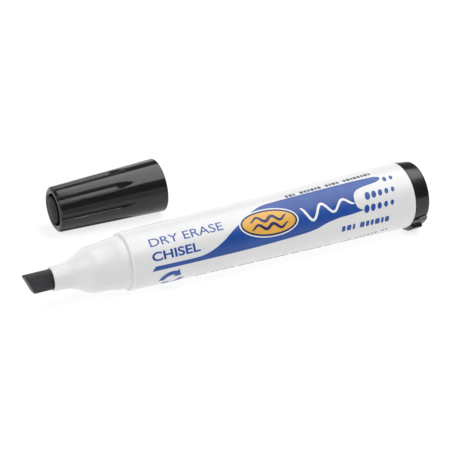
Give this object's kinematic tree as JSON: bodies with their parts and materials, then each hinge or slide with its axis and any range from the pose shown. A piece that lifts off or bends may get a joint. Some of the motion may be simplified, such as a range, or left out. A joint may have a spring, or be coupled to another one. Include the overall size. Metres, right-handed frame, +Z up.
{
  "type": "whiteboard marker",
  "caption": "Chisel-nib whiteboard marker lying uncapped: tapered barrel with a waisted nose, felt nib, inner ink reservoir, rear plug with an anti-roll foot, and a fluted vented cap behind it.",
  "frame": {"origin": "on the surface that the marker lies on, at the middle of the whole layout's footprint (marker and loose cap)", "axes": "+X along the marker from its nib to its rear plug, +Y from the marker towards the loose cap, +Z up"},
  "size_m": [0.1171, 0.0584, 0.0189],
  "materials": {
    "barrel_plastic": "satin-gloss white polypropylene with printed bands",
    "nib_felt": "pressed felt, soaked with black ink",
    "ink_fibre": "bundled polyester fibre, soaked with ink",
    "clear_film": "thin clear film",
    "dark_plastic": "gloss black polypropylene"
  },
  "bodies": {
    "marker": {"barrel": "barrel_plastic", "nib": "nib_felt", "reservoir_core": "ink_fibre", "reservoir_sleeve": "clear_film", "rear_plug": "dark_plastic"},
    "cap": {"cap_shell": "dark_plastic", "cap_inner_cup": "dark_plastic"}
  },
  "joints": [
    {"name": "cap_slide", "type": "slide", "parent": "marker", "child": "cap", "axis": [-1, 0, 0], "range_m": [0, 0.06]}
  ]
}
